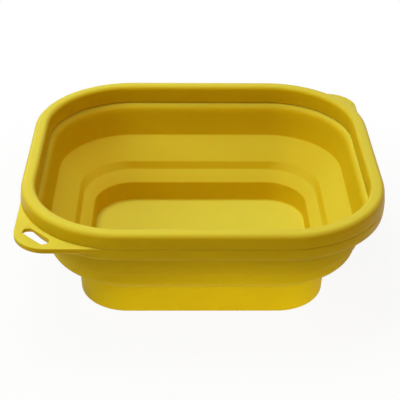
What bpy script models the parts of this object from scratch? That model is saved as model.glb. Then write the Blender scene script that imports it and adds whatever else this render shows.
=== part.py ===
# Fold-flat camp wash tub: a soft tub with a folding wall, hung in a rigid rim with two hanging tabs.
# Metres, +Z up. The origin is the middle of the tub's underside, +X runs along the longer side.
import math

import bmesh
import bpy
from mathutils import Matrix, Vector

# Gap kept between neighbouring mouldings
CLEARANCE = 0.0003

# Height of the open tub, and the plan of the rim at its widest, where the cap sits on the frame
TUB_HEIGHT = 0.111
RIM_LENGTH = 0.315
RIM_WIDTH = 0.285
RIM_CORNER_RADIUS = 0.0908

# Rim cap: an upside-down channel that closes the rim, with its outer leg leaning out to the seat
CAP_WIDTH = 0.0136
CAP_DRAFT = 0.0015
CAP_WALL = 0.0022
CAP_CROWN_WALL = 0.0024
CAP_OUTER_ROUND = 0.0038
CAP_INNER_ROUND = 0.0030
CAP_OUTER_LEG = 0.0126
CAP_INNER_LEG = 0.0172

# Rim frame: the band under the cap, the rib inside it and the two corner tabs
FRAME_BAND_HEIGHT = 0.0111
FRAME_BAND_DRAFT = 0.0005
FRAME_BAND_WALL = 0.0026
FRAME_RIB_WIDTH = 0.0026
FRAME_EDGE_CHAMFER = 0.0007
TAB_INSET = 0.0015
TAB_THICKNESS = 0.0050
TAB_CORNER_RADIUS = 0.0280
TAB_EDGE_CHAMFER = 0.0012
SLOT_LENGTH = 0.0285
SLOT_WIDTH = 0.0088
SLOT_WEB = 0.0043
SLOT_CHAMFER = 0.0007
SLOT_RECESS_DEPTH = 0.0018
SLOT_RECESS_MARGIN = 0.0025
SLOT_OVERSHOOT = 0.0014

# Upper wall: the lip hooked over the rib, the ledge under the cap and the leaning wall
LIP_THICKNESS = 0.0030
FLANGE_THICKNESS = 0.0030
FLANGE_SLOPE = 0.0030
LEDGE_WIDTH = 0.0032
LEDGE_ROUND = 0.0050
WALL_LEAN = 0.0040
WALL_THICKNESS = 0.0021

# Fold wall: the sloping panel that turns inside out, the step at its foot, and outside it the neck that
# lets the fold bend and the knuckle under it
PANEL_RISE = 0.0206
PANEL_RUN = 0.0193
NECK_DROP = 0.0024
NECK_RUN = 0.0026
KNUCKLE_DROP = 0.0132
KNUCKLE_LEAN = 0.0030
KNUCKLE_ROUND = 0.0040
KNUCKLE_CORNER_RADIUS = 0.0730
STEP_RISE = 0.0070
STEP_RUN = 0.0034
STEP_CORNER_RADIUS = 0.0475

# Fold line round the base: how far down the chamfer it lies, and the thin skin left there
HINGE_REACH = 0.0042
HINGE_THICKNESS = 0.0020

# Base pan: the chamfer inside its top, its thick wall and its floor
CHAMFER_RISE = 0.0100
CHAMFER_RUN = 0.0103
CHAMFER_ROUND = 0.0020
BASE_WALL_RISE = 0.0230
BASE_WALL_LEAN = 0.0003
BASE_WALL_THICKNESS = 0.0061
BASE_DRAFT = 0.0012
BASE_CORNER_RADIUS = 0.0440
SHOULDER_DROP = 0.0009
SHOULDER_ROUND = 0.0007
FOOT_CHAMFER = 0.0010
FLOOR_THICKNESS = 0.0024
FLOOR_FILLET = 0.0030

# Finishes: the stiff rim plastic and the soft tub rubber, both mustard yellow
RIM_COLOUR = (0.60, 0.43, 0.020)
RIM_ROUGHNESS = 0.42
TUB_COLOUR = (0.61, 0.43, 0.018)
TUB_ROUGHNESS = 0.50

# How finely round shapes are cut
CORNER_STEPS = 14
ROUND_STEPS = 4
BAND_STEPS = 2
TAB_SIDE_STEPS = 3
TAB_ROUND_STEPS = 8
SLOT_END_STEPS = 8
QUARTER = math.pi / 2
MERGE_DISTANCE = 0.000001
SHARP_ANGLE = math.radians(30)

# Insets, measured inwards from the rim's widest outline
RIB_INSET = CAP_DRAFT + CAP_WALL + CLEARANCE
LEDGE_INSET = CAP_WIDTH + LEDGE_WIDTH
WALL_FOOT_INSET = LEDGE_INSET + WALL_LEAN
WALL_OUTER_INSET = WALL_FOOT_INSET - WALL_THICKNESS
KNUCKLE_INSET = WALL_OUTER_INSET + KNUCKLE_LEAN
PANEL_FOOT_INSET = WALL_FOOT_INSET + PANEL_RUN
STEP_FOOT_INSET = PANEL_FOOT_INSET + STEP_RUN
CHAMFER_FOOT_INSET = STEP_FOOT_INSET + CHAMFER_RUN
FLOOR_INSET = CHAMFER_FOOT_INSET + BASE_WALL_LEAN
BASE_FOOT_INSET = FLOOR_INSET - BASE_WALL_THICKNESS

# Heights above the ground
STEP_FOOT_Z = BASE_WALL_RISE + CHAMFER_RISE
PANEL_FOOT_Z = STEP_FOOT_Z + STEP_RISE
WALL_FOOT_Z = PANEL_FOOT_Z + PANEL_RISE
CAP_FOOT_Z = TUB_HEIGHT - CAP_INNER_LEG
LEDGE_Z = CAP_FOOT_Z - CLEARANCE
LEDGE_ROUND_Z = LEDGE_Z - LEDGE_ROUND
CAVITY_Z = TUB_HEIGHT - CAP_CROWN_WALL
CAP_SEAT_Z = TUB_HEIGHT - CAP_OUTER_LEG
FRAME_TOP_Z = CAP_SEAT_Z - CLEARANCE
SHELF_Z = FRAME_TOP_Z - TAB_THICKNESS
LIP_TOP_Z = CAVITY_Z - CLEARANCE
RIB_TOP_Z = LIP_TOP_Z - LIP_THICKNESS - CLEARANCE

# The four corners, anticlockwise from +X +Y, and the quarter turns at which each one's arc begins
CORNERS = [(1, 1, 0), (-1, 1, 1), (-1, -1, 2), (1, -1, 3)]


def rim_radius(inset):
    """Corner radius of a ring that keeps the rim's corner centres."""
    return RIM_CORNER_RADIUS - inset


def base_radius(inset):
    """Corner radius of a ring that keeps the base pan's corner centres."""
    return BASE_CORNER_RADIUS + BASE_FOOT_INSET - inset


def knuckle_radius(inset):
    """Corner radius of a ring that keeps the knuckle's corner centres, further in than the rim's."""
    return KNUCKLE_CORNER_RADIUS + KNUCKLE_INSET - inset


def rounded(start, corner, end, radius, steps=ROUND_STEPS):
    """Points of the arc that rounds the corner of a section, between its neighbours start and end."""
    corner = Vector(corner)
    back = (Vector(start) - corner).normalized()
    ahead = (Vector(end) - corner).normalized()
    half = back.angle(ahead) / 2
    reach = radius / math.tan(half)
    centre = corner + (back + ahead).normalized() * (radius / math.sin(half))
    first = corner + back * reach - centre
    last = corner + ahead * reach - centre
    turn = first.angle(last)
    points = []
    for step in range(steps + 1):
        share = step / steps
        spoke = first * math.sin(turn * (1 - share)) + last * math.sin(turn * share)
        points.append(tuple(centre + spoke / math.sin(turn)))
    return points


def stations(points, radius_of):
    """Section points as stations of a ring, each with the corner radius that belongs to its inset."""
    return [(inset, height, radius_of(inset)) for inset, height in points]


def corner_centre(side_x, side_y, inset, radius):
    """Centre of one corner's arc, for a ring with that inset and corner radius."""
    setback = inset + radius
    return Vector((side_x * (RIM_LENGTH / 2 - setback), side_y * (RIM_WIDTH / 2 - setback)))


def polar(angle, reach):
    """The point at that reach in the direction of angle."""
    return Vector((math.cos(angle), math.sin(angle))) * reach


def ring_loop(mesh, inset, height, radius):
    """One rounded rectangle of vertices."""
    loop = []
    for side_x, side_y, turns in CORNERS:
        centre = corner_centre(side_x, side_y, inset, radius)
        for step in range(CORNER_STEPS + 1):
            place = centre + polar(QUARTER * (turns + step / CORNER_STEPS), radius)
            loop.append(mesh.verts.new((place.x, place.y, height)))
    return loop


def bridge(mesh, lower, upper):
    """A band of faces between two loops with as many vertices."""
    for index, vertex in enumerate(lower):
        after = (index + 1) % len(lower)
        mesh.faces.new((vertex, lower[after], upper[after], upper[index]))


def bridge_round(mesh, loops):
    """Bands of faces from each loop to the next and from the last to the first, as a closed ring."""
    for index, loop in enumerate(loops):
        bridge(mesh, loop, loops[(index + 1) % len(loops)])


def bridge_capped(mesh, loops):
    """Bands of faces from each loop to the next, with a flat face across each end."""
    for lower, upper in zip(loops, loops[1:]):
        bridge(mesh, lower, upper)
    mesh.faces.new(loops[0])
    mesh.faces.new(loops[-1])


def place_object(name, mesh, parent):
    """Makes an object of a bmesh that is drawn in world space, with its origin at its parent's."""
    bmesh.ops.remove_doubles(mesh, verts=mesh.verts, dist=MERGE_DISTANCE)
    bmesh.ops.recalc_face_normals(mesh, faces=mesh.faces)
    bmesh.ops.translate(mesh, verts=mesh.verts, vec=-parent.location)
    data = bpy.data.meshes.new(name)
    mesh.to_mesh(data)
    mesh.free()
    data.shade_smooth()
    data.set_sharp_from_angle(angle=SHARP_ANGLE)
    piece = bpy.data.objects.new(name, data)
    bpy.context.scene.collection.objects.link(piece)
    piece.parent = parent
    return piece


def give_finish(piece, colour, roughness):
    """A plain plastic material for one piece."""
    finish = bpy.data.materials.new(piece.name + "_finish")
    finish.use_nodes = True
    shader = finish.node_tree.nodes["Principled BSDF"]
    shader.inputs["Base Color"].default_value = (*colour, 1.0)
    shader.inputs["Roughness"].default_value = roughness
    shader.inputs["Metallic"].default_value = 0.0
    finish.diffuse_color = (*colour, 1.0)
    piece.data.materials.append(finish)


def carrier(name, height):
    """An empty on the tub's upright axis, which is the line that the fold moves along."""
    empty = bpy.data.objects.new(name, None)
    empty.location = (0, 0, height)
    bpy.context.scene.collection.objects.link(empty)
    return empty


def make_rim_cap(parent):
    """The smooth upper band of the rim, moulded as a channel that is open below."""
    outer_seat = (0, CAP_SEAT_Z)
    outer_top = (CAP_DRAFT, TUB_HEIGHT)
    inner_top = (CAP_WIDTH, TUB_HEIGHT)
    inner_foot = (CAP_WIDTH, CAP_FOOT_Z)
    inner_face = CAP_WIDTH - CAP_WALL
    section = [outer_seat]
    section += rounded(outer_seat, outer_top, inner_top, CAP_OUTER_ROUND)
    section += rounded(outer_top, inner_top, inner_foot, CAP_INNER_ROUND)
    section += [inner_foot, (inner_face, CAP_FOOT_Z), (inner_face, CAVITY_Z)]
    section += [(CAP_DRAFT + CAP_WALL, CAVITY_Z), (CAP_WALL, CAP_SEAT_Z)]
    mesh = bmesh.new()
    bridge_round(mesh, [ring_loop(mesh, *station) for station in stations(section, rim_radius)])
    give_finish(place_object("rim_cap", mesh, parent), RIM_COLOUR, RIM_ROUGHNESS)


def tab_angles():
    """Angles round a corner that has a tab: along the band, the tab's side and the tab's own corner."""
    line = rim_radius(TAB_INSET)
    meeting = math.acos(line / RIM_CORNER_RADIUS)
    side = math.atan2(line - TAB_CORNER_RADIUS, line)
    before = [meeting * step / BAND_STEPS for step in range(BAND_STEPS)]
    before += [meeting + (side - meeting) * step / TAB_SIDE_STEPS for step in range(TAB_SIDE_STEPS)]
    spread = QUARTER - 2 * side
    across = [side + spread * step / TAB_ROUND_STEPS for step in range(TAB_ROUND_STEPS + 1)]
    after = [QUARTER - angle for angle in reversed(before)]
    return before + across + after


def tab_reach(angle, inset):
    """Distance from the band's corner centre to the tab's outline, in the direction of angle."""
    line = rim_radius(TAB_INSET + inset)
    round_radius = TAB_CORNER_RADIUS - inset
    middle = Vector((line - round_radius, line - round_radius))
    side_angle = math.atan2(middle.y, line)
    if angle <= side_angle:
        return line / math.cos(angle)
    if angle >= QUARTER - side_angle:
        return line / math.sin(angle)
    along = middle.dot(polar(angle, 1))
    return along + math.sqrt(along**2 - middle.length_squared + round_radius**2)


def frame_loop(mesh, inset, height, tab_share):
    """One loop of the frame: tab_share is 0 on the round band and 1 on the outline of the two tabs."""
    loop = []
    radius = rim_radius(inset)
    plain_angles = [QUARTER * step / CORNER_STEPS for step in range(CORNER_STEPS + 1)]
    for side_x, side_y, turns in CORNERS:
        centre = corner_centre(side_x, side_y, inset, radius)
        has_tab = side_x == side_y
        for angle in tab_angles() if has_tab else plain_angles:
            reach = radius
            if has_tab:
                reach += tab_share * max(0, tab_reach(angle, inset) - radius)
            place = centre + polar(angle + QUARTER * turns, reach)
            loop.append(mesh.verts.new((place.x, place.y, height)))
    return loop


def slot_loop(mesh, middle, height, flare):
    """One outline of a hanging slot, which lies square to the corner's diagonal."""
    loop = []
    lie = Matrix.Rotation(-QUARTER / 2, 2)
    for end in (1, -1):
        end_centre = Vector((end * (SLOT_LENGTH - SLOT_WIDTH) / 2, 0))
        for step in range(SLOT_END_STEPS + 1):
            angle = QUARTER * (2 * step / SLOT_END_STEPS - end)
            place = middle + lie @ (end_centre + polar(angle, SLOT_WIDTH / 2 + flare))
            loop.append(mesh.verts.new((place.x, place.y, height)))
    return loop


def cut_slot(frame, side):
    """Cuts one hanging slot, chamfered at both edges, and the recess under it that thins the plate."""
    corner_to_slot = (math.sqrt(2) - 1) * RIM_CORNER_RADIUS - SLOT_WEB - SLOT_WIDTH / 2
    setback = corner_to_slot / math.sqrt(2)
    middle = side * Vector((RIM_LENGTH / 2 - setback, RIM_WIDTH / 2 - setback))
    recess_z = SHELF_Z + SLOT_RECESS_DEPTH
    mesh = bmesh.new()
    loops = [
        slot_loop(mesh, middle, SHELF_Z - SLOT_OVERSHOOT, SLOT_RECESS_MARGIN),
        slot_loop(mesh, middle, recess_z, SLOT_RECESS_MARGIN),
        slot_loop(mesh, middle, recess_z, SLOT_CHAMFER),
        slot_loop(mesh, middle, recess_z + SLOT_CHAMFER, 0),
        slot_loop(mesh, middle, FRAME_TOP_Z - SLOT_CHAMFER, 0),
        slot_loop(mesh, middle, FRAME_TOP_Z + SLOT_OVERSHOOT, SLOT_CHAMFER + SLOT_OVERSHOOT),
    ]
    bridge_capped(mesh, loops)
    cutter = place_object("slot_cutter", mesh, frame.parent)
    cutter.hide_render = True
    cutter.display_type = "WIRE"
    cut = frame.modifiers.new("slot", "BOOLEAN")
    cut.operation = "DIFFERENCE"
    cut.solver = "EXACT"
    cut.object = cutter


def make_rim_frame(parent):
    """The lower band of the rim with its two tabs, and the rib that carries the tub's lip."""
    bottom = FRAME_TOP_Z - FRAME_BAND_HEIGHT
    rib_inner = RIB_INSET + FRAME_RIB_WIDTH
    tab_diagonal = tab_reach(QUARTER / 2, 0) - RIM_CORNER_RADIUS
    chamfer_share = 1 - TAB_EDGE_CHAMFER / tab_diagonal
    mesh = bmesh.new()
    loops = [
        frame_loop(mesh, FRAME_BAND_DRAFT + FRAME_EDGE_CHAMFER, bottom, 0),
        frame_loop(mesh, FRAME_BAND_DRAFT, bottom + FRAME_EDGE_CHAMFER, 0),
        frame_loop(mesh, 0, SHELF_Z, 0),
        frame_loop(mesh, 0, SHELF_Z, chamfer_share),
        frame_loop(mesh, 0, SHELF_Z + TAB_EDGE_CHAMFER, 1),
        frame_loop(mesh, 0, FRAME_TOP_Z - FRAME_EDGE_CHAMFER, 1),
        frame_loop(mesh, FRAME_EDGE_CHAMFER, FRAME_TOP_Z, 1),
        frame_loop(mesh, RIB_INSET, FRAME_TOP_Z, 0),
        frame_loop(mesh, RIB_INSET, RIB_TOP_Z, 0),
        frame_loop(mesh, rib_inner, RIB_TOP_Z, 0),
        frame_loop(mesh, rib_inner, SHELF_Z, 0),
        frame_loop(mesh, FRAME_BAND_WALL, SHELF_Z, 0),
        frame_loop(mesh, FRAME_BAND_DRAFT + FRAME_BAND_WALL, bottom, 0),
    ]
    bridge_round(mesh, loops)
    frame = place_object("rim_frame", mesh, parent)
    give_finish(frame, RIM_COLOUR, RIM_ROUGHNESS)
    for side in (-1, 1):
        cut_slot(frame, side)


def make_upper_wall(parent):
    """The top of the soft tub: its lip hooks over the frame's rib, and its wall leans in to the fold."""
    lip_inner = CAP_WIDTH - CAP_WALL - CLEARANCE
    flange_outer = RIB_INSET + FRAME_RIB_WIDTH + CLEARANCE
    flange_z = LEDGE_Z - FLANGE_THICKNESS
    wall_top_z = flange_z - FLANGE_SLOPE
    lean = WALL_LEAN * (LEDGE_ROUND_Z - wall_top_z) / (LEDGE_ROUND_Z - WALL_FOOT_Z)
    lip_foot_z = RIB_TOP_Z + CLEARANCE
    ledge_start = (lip_inner, LEDGE_Z)
    section = [(RIB_INSET, lip_foot_z), (RIB_INSET, LIP_TOP_Z), (lip_inner, LIP_TOP_Z), ledge_start]
    section += rounded(ledge_start, (LEDGE_INSET, LEDGE_Z), (LEDGE_INSET, LEDGE_ROUND_Z), LEDGE_ROUND)
    section += [
        (WALL_FOOT_INSET, WALL_FOOT_Z),
        (WALL_OUTER_INSET, WALL_FOOT_Z),
        (LEDGE_INSET + lean - WALL_THICKNESS, wall_top_z),
        (flange_outer, flange_z),
        (flange_outer, lip_foot_z),
    ]
    mesh = bmesh.new()
    bridge_round(mesh, [ring_loop(mesh, *station) for station in stations(section, rim_radius)])
    give_finish(place_object("upper_wall", mesh, parent), TUB_COLOUR, TUB_ROUGHNESS)


def fold_line(offset):
    """Inner and outer end of a cut square through the chamfer, that far down it from the fold line."""
    top = Vector((STEP_FOOT_INSET, STEP_FOOT_Z))
    down = (Vector((CHAMFER_FOOT_INSET, BASE_WALL_RISE)) - top).normalized()
    inner = top + down * (HINGE_REACH + offset)
    outer = inner + Vector((down.y, -down.x)) * HINGE_THICKNESS
    return tuple(inner), tuple(outer)


def make_fold_wall(parent):
    """The soft panel between the upper wall and the base, which turns over when the tub is folded."""
    top_z = WALL_FOOT_Z - CLEARANCE
    neck = (WALL_OUTER_INSET + NECK_RUN, top_z - NECK_DROP)
    knuckle = (KNUCKLE_INSET, WALL_FOOT_Z - KNUCKLE_DROP)
    fold_inner, fold_outer = fold_line(0)
    section = stations([(WALL_FOOT_INSET, top_z), (WALL_OUTER_INSET, top_z), neck], rim_radius)
    section += stations(rounded(neck, knuckle, fold_outer, KNUCKLE_ROUND), knuckle_radius)
    section += stations([fold_outer, fold_inner, (STEP_FOOT_INSET, STEP_FOOT_Z)], base_radius)
    section.append((PANEL_FOOT_INSET, PANEL_FOOT_Z, STEP_CORNER_RADIUS))
    mesh = bmesh.new()
    bridge_round(mesh, [ring_loop(mesh, *station) for station in section])
    give_finish(place_object("fold_wall", mesh, parent), TUB_COLOUR, TUB_ROUGHNESS)


def make_base_pan(parent):
    """The stiff lower part: a flat floor, a thick upright wall and the chamfer that carries the fold."""
    land_inner, land_outer = fold_line(CLEARANCE)
    foot = (BASE_FOOT_INSET, 0)
    shoulder = (BASE_FOOT_INSET - BASE_DRAFT, land_outer[1] - SHOULDER_DROP)
    chamfer_foot = (CHAMFER_FOOT_INSET, BASE_WALL_RISE)
    floor_corner = (FLOOR_INSET, FLOOR_THICKNESS)
    floor_middle = (RIM_WIDTH / 2, FLOOR_THICKNESS)
    section = [(BASE_FOOT_INSET + FOOT_CHAMFER, 0), (BASE_FOOT_INSET, FOOT_CHAMFER)]
    section += rounded(foot, shoulder, land_outer, SHOULDER_ROUND)
    section += [land_outer, land_inner]
    section += rounded(land_inner, chamfer_foot, floor_corner, CHAMFER_ROUND)
    section += rounded(chamfer_foot, floor_corner, floor_middle, FLOOR_FILLET)
    mesh = bmesh.new()
    bridge_capped(mesh, [ring_loop(mesh, *station) for station in stations(section, base_radius)])
    give_finish(place_object("base_pan", mesh, parent), TUB_COLOUR, TUB_ROUGHNESS)


def main():
    for old in list(bpy.data.objects):
        bpy.data.objects.remove(old, do_unlink=True)
    base = carrier("base_carrier", 0)
    rim = carrier("rim_carrier", FRAME_TOP_Z)
    make_base_pan(base)
    make_fold_wall(base)
    make_upper_wall(rim)
    make_rim_frame(rim)
    make_rim_cap(rim)


main()
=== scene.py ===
# Fold-flat camp wash tub: a soft mustard-yellow tub hung in a stiff two-part rim. Sizes are in metres.
import math

import bmesh
import bpy
from mathutils import Matrix, Quaternion, Vector


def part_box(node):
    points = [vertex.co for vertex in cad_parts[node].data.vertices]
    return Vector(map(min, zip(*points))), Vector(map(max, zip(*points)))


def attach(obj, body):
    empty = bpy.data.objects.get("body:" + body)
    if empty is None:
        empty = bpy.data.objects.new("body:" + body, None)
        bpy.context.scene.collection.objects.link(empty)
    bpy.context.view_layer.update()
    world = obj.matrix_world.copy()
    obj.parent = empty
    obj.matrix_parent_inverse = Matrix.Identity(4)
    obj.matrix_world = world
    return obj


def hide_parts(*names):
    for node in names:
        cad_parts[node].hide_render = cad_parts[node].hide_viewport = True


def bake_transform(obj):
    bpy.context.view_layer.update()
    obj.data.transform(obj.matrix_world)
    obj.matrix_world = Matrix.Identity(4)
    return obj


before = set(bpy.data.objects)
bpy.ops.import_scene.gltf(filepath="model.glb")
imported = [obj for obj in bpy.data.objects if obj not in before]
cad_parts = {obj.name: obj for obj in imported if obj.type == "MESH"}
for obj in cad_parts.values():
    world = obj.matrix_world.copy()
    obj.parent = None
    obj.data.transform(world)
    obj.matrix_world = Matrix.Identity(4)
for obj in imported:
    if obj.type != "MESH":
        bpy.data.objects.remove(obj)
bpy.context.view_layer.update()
scene = bpy.context.scene
scene.view_settings.view_transform = "Standard"

# Camera
# The photograph looks down into the tub from the front at about 32 degrees, with a longish lens from
# about a metre away. The tub is turned a little from square to the lens, and the frame leans slightly.
PITCH = math.radians(31.78)
YAW = math.radians(1.244)
ROLL = math.radians(0.716)
DISTANCE = 1.00306
AIM = Vector((-0.00131, 0.00003, 0.05696))
SENSOR_MM = 36.0
LENS_MM = 97.06
NEAREST_SEEN = 0.05
FARTHEST_SEEN = 50.0
lens = bpy.data.cameras.new("camera")
lens.sensor_width = SENSOR_MM
lens.lens = LENS_MM
lens.clip_start = NEAREST_SEEN
lens.clip_end = FARTHEST_SEEN
camera = bpy.data.objects.new("camera", lens)
away = Vector((-math.sin(YAW) * math.cos(PITCH), -math.cos(YAW) * math.cos(PITCH), math.sin(PITCH)))
camera.location = AIM + away * DISTANCE
camera.rotation_mode = "QUATERNION"
camera.rotation_quaternion = (-away).to_track_quat("-Z", "Y") @ Quaternion((0, 0, 1), ROLL)
scene.collection.objects.link(camera)
scene.camera = camera


# Floor
# A wide sheet of matt white paper, swept out under the tub. It throws light back up on to the base. The
# lens sees it as plain white, and only close to the foot does a share of its real shade show.
class Wire:
    """One output of a node, with the arithmetic that shader maths needs."""

    def __init__(self, finish, socket):
        self.finish = finish
        self.socket = socket

    def maths(self, operation, first, second):
        return self.finish.add("Math", {"operation": operation}, {0: first, 1: second})

    def __add__(self, other):
        return self.maths("ADD", self, other)

    def __radd__(self, other):
        return self.maths("ADD", other, self)

    def __sub__(self, other):
        return self.maths("SUBTRACT", self, other)

    def __rsub__(self, other):
        return self.maths("SUBTRACT", other, self)

    def __mul__(self, other):
        return self.maths("MULTIPLY", self, other)

    def __rmul__(self, other):
        return self.maths("MULTIPLY", other, self)


class Finish:
    """A material or a world, whose nodes are added one call at a time."""

    def __init__(self, owner):
        owner.use_nodes = True
        self.owner = owner
        self.tree = owner.node_tree
        self.tree.nodes.clear()

    def add(self, kind, settings=None, inputs=None, output=0):
        node = self.tree.nodes.new("ShaderNode" + kind)
        for name, value in (settings or {}).items():
            setattr(node, name, value)
        for name, value in (inputs or {}).items():
            if isinstance(value, Wire):
                self.tree.links.new(value.socket, node.inputs[name])
            else:
                node.inputs[name].default_value = value
        return Wire(self, node.outputs[output]) if node.outputs else None


FLOOR_REACH = 30.0
FLOOR_WHITE = (0.76, 0.76, 0.76, 1)
PLAIN_WHITE = (1, 1, 1, 1)
SHADOW_SHARE = 0.08
SHADOW_NEAR = 0.20
SHADOW_FAR = 0.36
paper = Finish(bpy.data.materials.new("white_paper"))
by_lens = paper.add("LightPath", output="Is Camera Ray")
by_gloss = paper.add("LightPath", output="Is Glossy Ray")
by_glass = paper.add("LightPath", output="Is Transmission Ray")
matt = paper.add("BsdfDiffuse", inputs={"Color": FLOOR_WHITE})
bright = paper.add("Emission", inputs={"Color": PLAIN_WHITE, "Strength": 1.0})
paper_place = paper.add("TexCoord", output="Object")
from_tub = paper.add("VectorMath", {"operation": "LENGTH"}, {0: paper_place}, output="Value")
shadow = paper.add("MapRange", inputs={
    "Value": from_tub, "From Min": SHADOW_NEAR, "From Max": SHADOW_FAR,
    "To Min": SHADOW_SHARE, "To Max": 0.0,
})
kept_white = (by_lens + by_gloss + by_glass) * (1 - shadow)
paper_skin = paper.add("MixShader", inputs={0: kept_white, 1: matt, 2: bright})
paper.add("OutputMaterial", inputs={"Surface": paper_skin})

sheet = bmesh.new()
bmesh.ops.create_grid(sheet, x_segments=1, y_segments=1, size=FLOOR_REACH)
floor_mesh = bpy.data.meshes.new("floor")
sheet.to_mesh(floor_mesh)
sheet.free()
floor_mesh.materials.append(paper.owner)
floor = bpy.data.objects.new("floor", floor_mesh)
scene.collection.objects.link(floor)

# Light
# A big soft box hangs high over the tub, and two lower ones stand at its left and behind it. Warm cards
# at the right and in front fill the shade. A low lamp from the front right lights the foot of the base,
# and its beam ends just under the rim.
ROOM_STRENGTH = 0.04
BOX_DISTANCE = 1.6
CLEAR_WHITE = (0.96, 1.0, 0.96)
FRESH_WHITE = (0.91, 1.0, 0.86)
WARM_WHITE = (1.0, 0.64, 0.34)
LOW_LAMP_BEARING = 22
LOW_LAMP_DISTANCE = 1.2
LOW_LAMP_HEIGHT = 0.17
LOW_LAMP_BULB = 0.03
LOW_LAMP_STRENGTH = 2.00
BASE_FRONT = -0.11
BEAM_TOP = 0.091
BEAM_HALF_WIDTH = 0.40
BEAM_BLUR = 0.25
room = Finish(bpy.data.worlds.new("pale_room"))
room_by_lens = room.add("LightPath", output="Is Camera Ray")
room_by_gloss = room.add("LightPath", output="Is Glossy Ray")
room_by_glass = room.add("LightPath", output="Is Transmission Ray")
room_shown = room_by_lens + room_by_gloss + room_by_glass
room_light = room.add("Background", inputs={"Color": PLAIN_WHITE, "Strength": ROOM_STRENGTH})
room_white = room.add("Background", inputs={"Color": PLAIN_WHITE, "Strength": 1.0})
room_skin = room.add("MixShader", inputs={0: room_shown, 1: room_light, 2: room_white})
room.add("OutputWorld", inputs={"Surface": room_skin})
scene.world = room.owner


def hang(lamp, colour, place, target):
    """Hangs a lamp at a place, turned to its target and hidden from the lens."""
    lamp.color = colour
    holder = bpy.data.objects.new(lamp.name, lamp)
    holder.location = place
    holder.rotation_mode = "QUATERNION"
    holder.rotation_quaternion = (target - place).to_track_quat("-Z", "Y")
    holder.visible_camera = False
    scene.collection.objects.link(holder)


def soft_box(name, bearing, height, size, strength, colour):
    """A square soft box, at a bearing from the front, anticlockwise from above, and an angle of height."""
    turn = math.radians(bearing)
    rise = math.radians(height)
    spoke = Vector((math.sin(turn) * math.cos(rise), -math.cos(turn) * math.cos(rise), math.sin(rise)))
    lamp = bpy.data.lights.new(name, "AREA")
    lamp.size = size
    lamp.energy = strength * math.pi * BOX_DISTANCE**2
    hang(lamp, colour, AIM + spoke * BOX_DISTANCE, AIM)


soft_box("overhead_box", bearing=240, height=77, size=0.62, strength=1.70, colour=CLEAR_WHITE)
soft_box("back_box", bearing=215, height=32, size=0.80, strength=0.40, colour=CLEAR_WHITE)
soft_box("left_box", bearing=285, height=36, size=0.70, strength=1.06, colour=FRESH_WHITE)
soft_box("right_card", bearing=90, height=32, size=0.70, strength=0.44, colour=WARM_WHITE)
soft_box("front_card", bearing=0, height=48, size=0.70, strength=0.46, colour=WARM_WHITE)

low_turn = math.radians(LOW_LAMP_BEARING)
low_spoke = Vector((math.sin(low_turn), -math.cos(low_turn), 0))
low_lamp = bpy.data.lights.new("low_lamp", "SPOT")
low_lamp.energy = LOW_LAMP_STRENGTH * 4 * math.pi * LOW_LAMP_DISTANCE**2
low_lamp.shadow_soft_size = LOW_LAMP_BULB
low_lamp.spot_size = 2 * math.atan(BEAM_HALF_WIDTH / LOW_LAMP_DISTANCE)
low_lamp.spot_blend = BEAM_BLUR
low_place = low_spoke * LOW_LAMP_DISTANCE + Vector((0, 0, LOW_LAMP_HEIGHT))
hang(low_lamp, FRESH_WHITE, low_place, Vector((0, BASE_FRONT, BEAM_TOP - BEAM_HALF_WIDTH)))

# Rim cap
# The smooth upper band of the rim, moulded in stiff plastic as a channel that is open below. It snaps
# down over the frame's rib and the tub's lip. Its top is barely crowned, between two full round edges.
rim_low, rim_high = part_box("rim_cap")
CORNER_STEPS = 24
RIM_CORNER = 0.0908
CAP_WIDTH = 0.0136
CAP_DRAFT = 0.0015
CAP_WALL = 0.0022
CAP_CROWN_WALL = 0.0024
CAP_OUTER_LEG = 0.0126
CAP_CROWN = 0.00025
CAP_OUTER_ROUND = 0.0038
CAP_INNER_ROUND = 0.0040
CAP_FOOT_ROUND = 0.0004
CAP_CREST_ROUND = CAP_WIDTH / 8
CAP_INSIDE = CAP_WIDTH - CAP_WALL
CAP_TOP = rim_high.z
CAP_SHOULDER = CAP_TOP - CAP_CROWN
CAP_ROOF = CAP_TOP - CAP_CROWN_WALL
CAP_SEAT = CAP_TOP - CAP_OUTER_LEG
CAP_FOOT = rim_low.z
SEAM = 0.0003
LIFT = 0.0003
MERGE = 0.000002
CRISP_EDGE = math.radians(35)
CREST_STEPS = 2
FINE_STEPS = 3
EASED_STEPS = 4
ROUND_STEPS = 6
BROAD_STEPS = 8


def outline(shell, half_x, half_y, height, radius, steps=CORNER_STEPS):
    """Edges of one rectangle with rounded corners, drawn flat at a height."""
    place = Matrix.Translation((0, 0, height)) @ Matrix.Diagonal((half_x, half_y, 1, 1))
    plate = bmesh.ops.create_grid(shell, x_segments=1, y_segments=1, size=1, matrix=place)
    bmesh.ops.bevel(
        shell, geom=plate["verts"], offset=radius, offset_type="OFFSET", segments=steps,
        profile=0.5, affect="VERTICES", material=-1,
    )
    return emptied(shell)


def emptied(shell):
    """Edges of the one flat plate in a shell, after its face is taken out."""
    plate = shell.faces[:]
    edges = list(plate[0].edges)
    bmesh.ops.delete(shell, geom=plate, context="FACES_ONLY")
    return edges


def rim_ring(shell, inset, height):
    """An outline that keeps the rim's corner centres, at an inset from the rim's widest."""
    return outline(shell, rim_high.x - inset, rim_high.y - inset, height, RIM_CORNER - inset)


def cover(shell, rings):
    """Joins each ring to the next by a band of faces. Of two level rings, one is lifted meanwhile."""
    for lower, upper in zip(rings, rings[1:]):
        points = list({point for edge in upper for point in edge.verts})
        level = points[0].co.z == lower[0].verts[0].co.z
        lift = Vector((0, 0, LIFT if level else 0))
        bmesh.ops.translate(shell, verts=points, vec=lift)
        bmesh.ops.bridge_loops(shell, edges=lower + upper)
        bmesh.ops.translate(shell, verts=points, vec=-lift)


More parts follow.
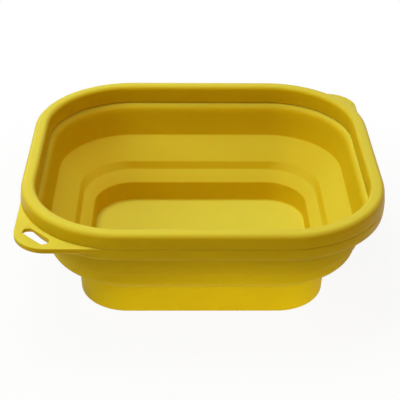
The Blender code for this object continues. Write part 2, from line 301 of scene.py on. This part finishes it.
def soften(shell, ring, reach, steps):
    """Rounds one ring of edges, as far to each side as reach."""
    bmesh.ops.bevel(
        shell, geom=ring, offset=reach, offset_type="OFFSET", segments=steps, profile=0.5,
        affect="EDGES", material=-1,
    )


def shaped(name, shell, finish):
    """The piece that a shell makes, smooth and closed, with its faces outwards."""
    bmesh.ops.remove_doubles(shell, verts=shell.verts, dist=MERGE)
    bmesh.ops.recalc_face_normals(shell, faces=shell.faces)
    mesh = bpy.data.meshes.new(name)
    shell.to_mesh(mesh)
    shell.free()
    mesh.shade_smooth()
    mesh.set_sharp_from_angle(angle=CRISP_EDGE)
    mesh.materials.append(finish.owner)
    piece = bpy.data.objects.new(name, mesh)
    scene.collection.objects.link(piece)
    return piece


YELLOW = (0.67, 0.46, 0.007, 1)
DEEP_YELLOW = (0.64, 0.43, 0.005, 1)
# A paler, whiter yellow, painted onto upward faces as the light and sheen that fall on them from above.
PAINTED_TOP_LIGHT_YELLOW = (0.76, 0.69, 0.075, 1)
CLOUDS_PER_METRE = 14.0
SWELLS_PER_METRE = 55.0
SWELL_DEPTH = 0.0004
SWELL_STRENGTH = 0.35
GRAIN_DEPTH = 0.00003
GRAIN_STRENGTH = 0.5
GLOSS_CLOUDS = 0.10
GLOSS_GRAIN = 0.08
# Where upward faces begin to take the painted light, and how much its share wanders with the clouds.
PAINTED_TOP_LIGHT_START = 0.40
PAINTED_TOP_LIGHT_CLOUDS = 0.2
SHINE = 0.12
SHINE_TINT = (1, 0.75, 0.08, 1)
GLOW = 0.25
GLOW_REACH = (0.003, 0.0010, 0.0003)


def moulded(name, roughness, grain_size, painted_top_light):
    """A satin moulding: two near shades in slow clouds, painted paler on top as light, a fine even grain.
    """
    finish = Finish(bpy.data.materials.new(name))
    place = finish.add("TexCoord", output="Object")
    clouds = finish.add("TexNoise", inputs={"Vector": place, "Scale": CLOUDS_PER_METRE, "Detail": 3.0})
    grain = finish.add("TexNoise", inputs={"Vector": place, "Scale": 1 / grain_size, "Detail": 2.0})
    swells = finish.add("TexNoise", inputs={"Vector": place, "Scale": SWELLS_PER_METRE, "Detail": 1.0})
    shade = finish.add(
        "Mix", {"data_type": "RGBA"}, {0: clouds, 6: DEEP_YELLOW, 7: YELLOW}, output=2
    )
    facing = finish.add("TexCoord", output="Normal")
    upward = finish.add("SeparateXYZ", inputs={"Vector": facing}, output="Z")
    # Painted light: the more a face looks up, the more its colour is mixed towards the pale painted top
    # light.
    painted_top_light_mask = finish.add("MapRange", inputs={"Value": upward, "From Min": PAINTED_TOP_LIGHT_START, "From Max": 1.0})
    painted_top_light_share = painted_top_light_mask * painted_top_light * (1 - PAINTED_TOP_LIGHT_CLOUDS / 2 + PAINTED_TOP_LIGHT_CLOUDS * clouds)
    colour_with_painted_top_light = finish.add(
        "Mix", {"data_type": "RGBA"}, {0: painted_top_light_share, 6: shade, 7: PAINTED_TOP_LIGHT_YELLOW}, output=2
    )
    gloss = roughness + (clouds - 0.5) * GLOSS_CLOUDS + (grain - 0.5) * GLOSS_GRAIN
    swell = finish.add("Bump", inputs={
        "Strength": SWELL_STRENGTH, "Distance": SWELL_DEPTH, "Height": swells,
    })
    bump = finish.add("Bump", inputs={
        "Strength": GRAIN_STRENGTH, "Distance": GRAIN_DEPTH, "Height": grain, "Normal": swell,
    })
    shader = finish.add("BsdfPrincipled", inputs={
        "Base Color": colour_with_painted_top_light, "Roughness": gloss, "Normal": bump, "IOR": 1.45,
        "Specular IOR Level": SHINE, "Specular Tint": SHINE_TINT,
        "Subsurface Weight": GLOW, "Subsurface Radius": GLOW_REACH, "Subsurface Scale": 1.0,
    })
    finish.add("OutputMaterial", inputs={"Surface": shader})
    return finish


cap = bmesh.new()
cap_seat_outer = rim_ring(cap, 0, CAP_SEAT)
cap_top_outer = rim_ring(cap, CAP_DRAFT, CAP_SHOULDER)
cap_crest = rim_ring(cap, (CAP_DRAFT + CAP_WIDTH) / 2, CAP_TOP)
cap_top_inner = rim_ring(cap, CAP_WIDTH, CAP_SHOULDER)
cap_foot_inner = rim_ring(cap, CAP_WIDTH, CAP_FOOT)
cap_foot_inside = rim_ring(cap, CAP_INSIDE, CAP_FOOT)
cap_roof_inner = rim_ring(cap, CAP_INSIDE, CAP_ROOF)
cap_roof_outer = rim_ring(cap, CAP_DRAFT + CAP_WALL, CAP_ROOF)
cap_seat_inside = rim_ring(cap, CAP_WALL, CAP_SEAT)
cover(cap, [
    cap_seat_outer, cap_top_outer, cap_crest, cap_top_inner, cap_foot_inner, cap_foot_inside,
    cap_roof_inner, cap_roof_outer, cap_seat_inside, cap_seat_outer,
])
soften(cap, cap_top_outer, CAP_OUTER_ROUND, BROAD_STEPS)
soften(cap, cap_top_inner, CAP_INNER_ROUND, ROUND_STEPS)
soften(cap, cap_crest, CAP_CREST_ROUND, CREST_STEPS)
soften(cap, cap_seat_outer, CAP_FOOT_ROUND, FINE_STEPS)
soften(cap, cap_foot_inner, CAP_FOOT_ROUND, FINE_STEPS)
# The rim's upward faces take a large share of painted top light and sheen.
rim_plastic = moulded("rim_plastic", roughness=0.42, grain_size=0.0007, painted_top_light=0.68)
rim_cap = shaped("rim_cap_band", cap, rim_plastic)
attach(rim_cap, "rim")
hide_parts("rim_cap")

# Rim frame
# The lower band of the rim, one stiff moulding with the two corner tabs that the tub hangs by. A rib
# stands up from it into the cap and carries the tub's lip. The band's foot is rolled, each slot's edges
# are eased for the hand, and a shallow recess thins the plate round it from below.
FRAME_BAND_HEIGHT = 0.0111
FRAME_BAND_DRAFT = 0.0005
FRAME_BAND_WALL = 0.0026
FRAME_RIB_WIDTH = 0.0026
FRAME_EDGE_ROUND = 0.0007
FRAME_FOOT_ROUND = 0.0021
TAB_INSET = 0.0015
TAB_THICKNESS = 0.0050
TAB_CORNER = 0.0280
TAB_EASE = 0.0010
SLOT_LENGTH = 0.0285
SLOT_WIDTH = 0.0088
SLOT_WEB = 0.0043
SLOT_EASE = 0.0008
SLOT_CHEEK = SLOT_EASE / 3
SLOT_END_STEPS = 10
RECESS_DEPTH = 0.0018
RECESS_MARGIN = 0.0025
FRAME_TOP = CAP_SEAT - SEAM
FRAME_SHELF = FRAME_TOP - TAB_THICKNESS
FRAME_FOOT = FRAME_TOP - FRAME_BAND_HEIGHT
RIB_OUTER = CAP_DRAFT + CAP_WALL + SEAM
RIB_INNER = RIB_OUTER + FRAME_RIB_WIDTH
RIB_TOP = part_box("rim_frame")[1].z
BAND_STEPS = int(math.acos(1 - TAB_INSET / RIM_CORNER) / (math.pi / 2) * CORNER_STEPS)
TAB_END_STEP = BAND_STEPS + 2


def tab_place(step, ease):
    """Where one step of a tab lies, from the corner's centre: on its straight side, then its round end."""
    line = RIM_CORNER - TAB_INSET - ease
    if step > CORNER_STEPS / 2:
        mirrored = tab_place(CORNER_STEPS - step, ease)
        return Vector((mirrored.y, mirrored.x))
    if step < TAB_END_STEP:
        return Vector((line, math.sqrt(RIM_CORNER**2 - line**2)))
    turn = math.pi / 2 * (step - TAB_END_STEP) / (CORNER_STEPS - 2 * TAB_END_STEP)
    reach = TAB_CORNER - ease
    return Vector((line - reach + reach * math.cos(turn), line - reach + reach * math.sin(turn)))


def tab_ring(shell, height, ease=0):
    """A rim ring drawn out at two corners into the tabs, whose edges may be eased in."""
    ring = rim_ring(shell, 0, height)
    middle = Vector((rim_high.x - RIM_CORNER, rim_high.y - RIM_CORNER))
    for point in {point for edge in ring for point in edge.verts}:
        side = math.copysign(1, point.co.x)
        spoke = side * point.co.xy - middle
        step = round(math.atan2(spoke.y, spoke.x) / (math.pi / 2) * CORNER_STEPS)
        if min(spoke) > 0 and BAND_STEPS < step < CORNER_STEPS - BAND_STEPS:
            point.co.xy = side * (middle + tab_place(step, ease))
    return ring


band = bmesh.new()
band_foot_outer = rim_ring(band, FRAME_BAND_DRAFT, FRAME_FOOT)
band_shelf = rim_ring(band, 0, FRAME_SHELF)
tab_foot = tab_ring(band, FRAME_SHELF, TAB_EASE)
tab_side = tab_ring(band, FRAME_SHELF + TAB_EASE)
tab_top = tab_ring(band, FRAME_TOP)
rib_foot_outer = rim_ring(band, RIB_OUTER, FRAME_TOP)
rib_top_outer = rim_ring(band, RIB_OUTER, RIB_TOP)
rib_top_inner = rim_ring(band, RIB_INNER, RIB_TOP)
rib_foot_inner = rim_ring(band, RIB_INNER, FRAME_SHELF)
band_roof = rim_ring(band, FRAME_BAND_WALL, FRAME_SHELF)
band_foot_inner = rim_ring(band, FRAME_BAND_DRAFT + FRAME_BAND_WALL, FRAME_FOOT)
cover(band, [
    band_foot_outer, band_shelf, tab_foot, tab_side, tab_top, rib_foot_outer, rib_top_outer,
    rib_top_inner, rib_foot_inner, band_roof, band_foot_inner, band_foot_outer,
])
soften(band, tab_top, FRAME_EDGE_ROUND, EASED_STEPS)
soften(band, band_foot_outer, FRAME_FOOT_ROUND, ROUND_STEPS)
rim_frame = shaped("rim_frame_band", band, rim_plastic)

corner_to_slot = (math.sqrt(2) - 1) * RIM_CORNER - SLOT_WEB - SLOT_WIDTH / 2
slot_setback = corner_to_slot / math.sqrt(2)
recess = FRAME_SHELF + RECESS_DEPTH
for side in (-1, 1):
    slot = bmesh.new()
    slot_rings = []
    for height, flare in (
        (FRAME_SHELF - SLOT_EASE, RECESS_MARGIN), (recess, RECESS_MARGIN), (recess, SLOT_EASE),
        (recess + SLOT_CHEEK, SLOT_CHEEK), (recess + SLOT_EASE, 0),
        (FRAME_TOP - SLOT_EASE, 0), (FRAME_TOP - SLOT_CHEEK, SLOT_CHEEK),
        (FRAME_TOP, SLOT_EASE), (FRAME_TOP + SLOT_EASE, 3 * SLOT_EASE),
    ):
        half_width = SLOT_WIDTH / 2 + flare
        half_length = SLOT_LENGTH / 2 + flare
        slot_rings.append(outline(slot, half_length, half_width, height, half_width, SLOT_END_STEPS))
    cover(slot, slot_rings)
    bmesh.ops.holes_fill(slot, edges=slot_rings[0] + slot_rings[-1])
    place = Vector((side * (rim_high.x - slot_setback), side * (rim_high.y - slot_setback), 0))
    bmesh.ops.rotate(slot, verts=slot.verts, cent=(0, 0, 0), matrix=Matrix.Rotation(-math.pi / 4, 3, "Z"))
    bmesh.ops.translate(slot, verts=slot.verts, vec=place)
    cutter = shaped("slot_cutter", slot, rim_plastic)
    cut = rim_frame.modifiers.new("slot", "BOOLEAN")
    cut.operation = "DIFFERENCE"
    cut.solver = "EXACT"
    cut.object = cutter
    bpy.context.view_layer.update()
    slotted = rim_frame.evaluated_get(bpy.context.evaluated_depsgraph_get())
    cut_mesh = bpy.data.meshes.new_from_object(slotted)
    rim_frame.modifiers.clear()
    rim_frame.data = cut_mesh
    bpy.data.objects.remove(cutter)
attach(rim_frame, "rim")
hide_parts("rim_frame")

# Tub
# The soft tub is one moulding in silky rubber: a lip hooked over the frame's rib, a ledge that rolls down
# under the cap, a wall that leans in to a crisp fold, a thick sloping panel, a step, and a stiff flat base.
# The real panel turns over between the fold and the base; here that stretch is cut in thin level bands.
FLANGE_THICKNESS = 0.0030
FLANGE_SLOPE = 0.0030
LEDGE_WIDTH = 0.0032
LEDGE_SHORT = 0.0006
LEDGE_DROP = 0.0026
LEDGE_ROUND = 0.0040
BROW_RUN = 0.0014
BROW_DROP = 0.0085
BROW_ROUND = 0.0020
WALL_LEAN = 0.0040
WALL_THICKNESS = 0.0021
PANEL_RISE = 0.0206
PANEL_RUN = 0.0193
NECK_DROP = 0.0022
NECK_RUN = 0.0026
NECK_ROUND = 0.0006
KNUCKLE_DROP = 0.0132
KNUCKLE_LEAN = 0.0030
KNUCKLE_ROUND = 0.0036
KNUCKLE_CORNER = 0.0730
STEP_RISE = 0.0070
STEP_RUN = 0.0034
STEP_CORNER = 0.0475
CREASE_ROUND = 0.0004
EDGE_ROUND = 0.0006
CHAMFER_RISE = 0.0100
CHAMFER_RUN = 0.0103
CHAMFER_ROUND = 0.0009
BASE_WALL_RISE = 0.0230
BASE_WALL_LEAN = 0.0003
BASE_WALL_THICKNESS = 0.0061
BASE_CORNER = 0.0440
BASE_DRAFT = 0.0012
SHOULDER = 0.0277
SHOULDER_ROUND = 0.0008
GROOVE_INSET = 0.0451
GROOVE = 0.0286
FOOT_ROUND = 0.0010
FLOOR_THICKNESS = 0.0024
FLOOR_FILLET = 0.0020
FILLET_STEPS = 5
FLAT_BORDER = 0.0010
FOLD_LOW = 0.0294
FOLD_STEP = 0.0013

lip_inner = CAP_INSIDE - SEAM
lip_foot = RIB_TOP + SEAM
flange_outer = RIB_INNER + SEAM
ledge = CAP_FOOT - SEAM
flange_foot = ledge - FLANGE_THICKNESS
wall_top = flange_foot - FLANGE_SLOPE
ledge_inset = CAP_WIDTH + LEDGE_WIDTH
crease_inset = ledge_inset + WALL_LEAN
wall_outer = crease_inset - WALL_THICKNESS
knuckle_inset = wall_outer + KNUCKLE_LEAN
panel_foot_inset = crease_inset + PANEL_RUN
step_foot_inset = panel_foot_inset + STEP_RUN
chamfer_foot_inset = step_foot_inset + CHAMFER_RUN
floor_inset = chamfer_foot_inset + BASE_WALL_LEAN
foot_inset = floor_inset - BASE_WALL_THICKNESS
step_foot = BASE_WALL_RISE + CHAMFER_RISE
panel_foot = step_foot + STEP_RISE
crease = panel_foot + PANEL_RISE
wall_slope = WALL_LEAN / (ledge - crease)


def base_ring(shell, inset, height):
    """An outline that keeps the base's corner centres, at an inset from the rim's widest."""
    radius = BASE_CORNER + foot_inset - inset
    return outline(shell, rim_high.x - inset, rim_high.y - inset, height, radius)


tub = bmesh.new()
foot = base_ring(tub, foot_inset, 0)
shoulder = base_ring(tub, foot_inset - BASE_DRAFT, SHOULDER)
groove = base_ring(tub, GROOVE_INSET, GROOVE)
knuckle = outline(
    tub, rim_high.x - knuckle_inset, rim_high.y - knuckle_inset, crease - KNUCKLE_DROP, KNUCKLE_CORNER
)
neck = rim_ring(tub, wall_outer + NECK_RUN, crease - NECK_DROP)
wall_foot = rim_ring(tub, wall_outer, crease)
wall_head = rim_ring(tub, ledge_inset - WALL_THICKNESS + wall_slope * (ledge - wall_top), wall_top)
flange = rim_ring(tub, flange_outer, flange_foot)
hook_foot_inner = rim_ring(tub, flange_outer, lip_foot)
hook_foot_outer = rim_ring(tub, RIB_OUTER, lip_foot)
lip_outer_top = rim_ring(tub, RIB_OUTER, CAP_ROOF - SEAM)
lip_inner_top = rim_ring(tub, lip_inner, CAP_ROOF - SEAM)
ledge_back = rim_ring(tub, lip_inner, ledge)
ledge_edge = rim_ring(tub, ledge_inset - LEDGE_SHORT, ledge - LEDGE_DROP)
ledge_brow = rim_ring(tub, ledge_inset + BROW_RUN, ledge - BROW_DROP)
crease_ring = rim_ring(tub, crease_inset, crease)
panel_foot_ring = outline(
    tub, rim_high.x - panel_foot_inset, rim_high.y - panel_foot_inset, panel_foot, STEP_CORNER
)
step_ring = base_ring(tub, step_foot_inset, step_foot)
chamfer_foot = base_ring(tub, chamfer_foot_inset, BASE_WALL_RISE)
floor_edge = base_ring(tub, floor_inset, FLOOR_THICKNESS)
cover(tub, [
    foot, shoulder, groove, knuckle, neck, wall_foot, wall_head, flange, hook_foot_inner,
    hook_foot_outer, lip_outer_top, lip_inner_top, ledge_back, ledge_edge, ledge_brow, crease_ring,
    panel_foot_ring, step_ring, chamfer_foot, floor_edge,
])
bmesh.ops.holes_fill(tub, edges=foot + floor_edge)
soften(tub, foot, FOOT_ROUND, EASED_STEPS)
soften(tub, shoulder, SHOULDER_ROUND, FINE_STEPS)
soften(tub, knuckle, KNUCKLE_ROUND, ROUND_STEPS)
soften(tub, neck, NECK_ROUND, FINE_STEPS)
soften(tub, wall_foot, NECK_ROUND, FINE_STEPS)
soften(tub, ledge_edge, LEDGE_ROUND, BROAD_STEPS)
soften(tub, ledge_brow, BROW_ROUND, FINE_STEPS)
soften(tub, crease_ring, CREASE_ROUND, FINE_STEPS)
soften(tub, panel_foot_ring, EDGE_ROUND, FINE_STEPS)
soften(tub, step_ring, EDGE_ROUND, FINE_STEPS)
soften(tub, chamfer_foot, CHAMFER_ROUND, EASED_STEPS)
soften(tub, floor_edge, FLOOR_FILLET, FILLET_STEPS)
flats = [face for face in tub.faces if len(face.verts) > CORNER_STEPS]
bmesh.ops.inset_region(tub, faces=flats, thickness=FLAT_BORDER, use_even_offset=True)
for cut in range(1, round((crease - FOLD_LOW) / FOLD_STEP)):
    everything = tub.verts[:] + tub.edges[:] + tub.faces[:]
    bmesh.ops.bisect_plane(
        tub, geom=everything, plane_co=(0, 0, FOLD_LOW + cut * FOLD_STEP), plane_no=(0, 0, 1)
    )
# The tub's upward faces, floor and panel among them, take a larger share of painted top light and sheen.
tub_rubber = moulded("tub_rubber", roughness=0.60, grain_size=0.0005, painted_top_light=0.90)
tub_body = shaped("tub_body", tub, tub_rubber)
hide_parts("upper_wall", "fold_wall", "base_pan")
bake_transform(tub_body)
